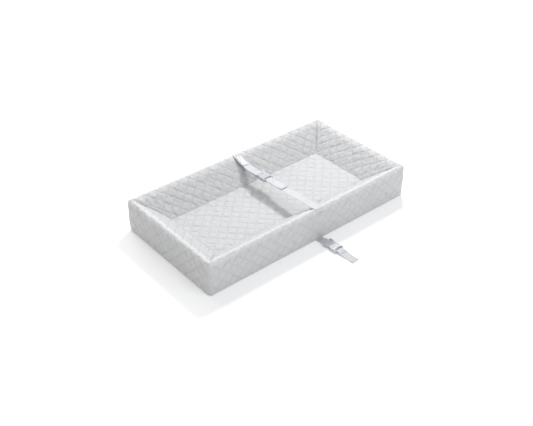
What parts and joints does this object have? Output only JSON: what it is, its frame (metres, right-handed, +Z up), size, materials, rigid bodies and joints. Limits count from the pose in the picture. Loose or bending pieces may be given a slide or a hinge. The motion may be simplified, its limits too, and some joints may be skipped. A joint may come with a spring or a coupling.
{
  "type": "changing pad",
  "caption": "Changing pad with raised sloping walls round a sunken quilted floor, a buckled safety belt across it and a buckled anchor strap at the front.",
  "frame": {"origin": "centre of the pad's underside, on the surface it rests on", "axes": "+X along the pad's length, +Y across it to the wall with the zip, +Z up"},
  "size_m": [0.8, 0.5778, 0.1153],
  "materials": {
    "quilted_cover": "quilted, satin",
    "non_skid_base": "matte, dotted grip",
    "foam": "open-cell foam",
    "webbing": "woven, slight sheen",
    "label": "smooth woven tape",
    "buckle_plastic": "moulded, satin",
    "zip_tape": "woven",
    "zip_plastic": "moulded"
  },
  "bodies": {
    "pad": {"foam_base": "foam", "foam_wall_front": "foam", "foam_wall_back": "foam", "foam_wall_left": "foam", "foam_wall_right": "foam", "cover_floor": "quilted_cover", "cover_slope_front": "quilted_cover", "cover_slope_back": "quilted_cover", "cover_slope_left": "quilted_cover", "cover_slope_right": "quilted_cover", "cover_side_front": "quilted_cover", "cover_side_back": "quilted_cover", "cover_side_left": "quilted_cover", "cover_side_right": "quilted_cover", "cover_bottom": "non_skid_base", "zip_tape_upper": "zip_tape", "zip_tape_lower": "zip_tape", "zip_teeth_upper": "zip_plastic", "zip_teeth_lower": "zip_plastic", "zip_stops": "zip_plastic", "belt_end_back": "webbing", "belt_end_front": "webbing", "belt_label": "label", "anchor_root": "webbing"},
    "zip_slider": {"zip_slider": "zip_plastic"},
    "zip_pull": {"zip_pull": "zip_plastic"},
    "belt": {"belt_webbing_back": "webbing", "belt_webbing_front": "webbing", "belt_socket": "buckle_plastic"},
    "belt_tongue": {"belt_tongue": "buckle_plastic"},
    "belt_prong_left": {"belt_prong_left": "buckle_plastic"},
    "belt_prong_right": {"belt_prong_right": "buckle_plastic"},
    "anchor_strap": {"anchor_webbing": "webbing", "anchor_socket": "buckle_plastic"},
    "anchor_tongue": {"anchor_tongue": "buckle_plastic", "anchor_tail": "webbing"},
    "anchor_prong_left": {"anchor_prong_left": "buckle_plastic"},
    "anchor_prong_right": {"anchor_prong_right": "buckle_plastic"}
  },
  "joints": [
    {"name": "belt_swing", "type": "hinge", "parent": "pad", "child": "belt", "pos_m": [0.02, 0.08417, 0.101], "axis": [0, -0.9983, 0.0583], "range_deg": [-70, 70]},
    {"name": "belt_release", "type": "slide", "parent": "belt", "child": "belt_tongue", "axis": [0, -0.9983, 0.0583], "range_m": [0, 0.024], "deforming": ["belt_webbing_front"]},
    {"name": "belt_squeeze_left", "type": "hinge", "parent": "belt_tongue", "child": "belt_prong_left", "pos_m": [0.0306, 0.04517, 0.10027], "axis": [0, 0.0583, 0.9983], "range_deg": [0, 10.1]},
    {"name": "belt_squeeze_right", "type": "hinge", "parent": "belt_tongue", "child": "belt_prong_right", "pos_m": [0.0094, 0.04517, 0.10027], "axis": [0, 0.0583, 0.9983], "range_deg": [-10.1, 0]},
    {"name": "anchor_lift", "type": "hinge", "parent": "pad", "child": "anchor_strap", "pos_m": [0.0219, -0.2127, 0.0012], "axis": [-1, 0, 0], "range_deg": [0, 60]},
    {"name": "anchor_release", "type": "slide", "parent": "anchor_strap", "child": "anchor_tongue", "axis": [0.0523, -0.9986, 0], "range_m": [0, 0.024]},
    {"name": "anchor_squeeze_left", "type": "hinge", "parent": "anchor_tongue", "child": "anchor_prong_left", "pos_m": [0.03612, -0.28029, 0.0058], "axis": [0, 0, 1], "range_deg": [0, 10.1]},
    {"name": "anchor_squeeze_right", "type": "hinge", "parent": "anchor_tongue", "child": "anchor_prong_right", "pos_m": [0.01495, -0.2814, 0.0058], "axis": [0, 0, 1], "range_deg": [-10.1, 0]},
    {"name": "zip_slide", "type": "slide", "parent": "pad", "child": "zip_slider", "axis": [1, 0, 0], "range_m": [0, 0.57], "deforming": ["zip_teeth_upper", "zip_teeth_lower"]},
    {"name": "zip_pull_swing", "type": "hinge", "parent": "zip_slider", "child": "zip_pull", "pos_m": [-0.293, 0.213, 0.022], "axis": [0, 0, 1], "range_deg": [0, 170]}
  ],
  "couplings": [
    {"joint": "belt_squeeze_left", "follows": "belt_release", "rad_per_m": 7.3304},
    {"joint": "anchor_squeeze_left", "follows": "anchor_release", "rad_per_m": 7.3304},
    {"joint": "belt_squeeze_right", "follows": "belt_release", "rad_per_m": -7.3304},
    {"joint": "anchor_squeeze_right", "follows": "anchor_release", "rad_per_m": -7.3304}
  ]
}
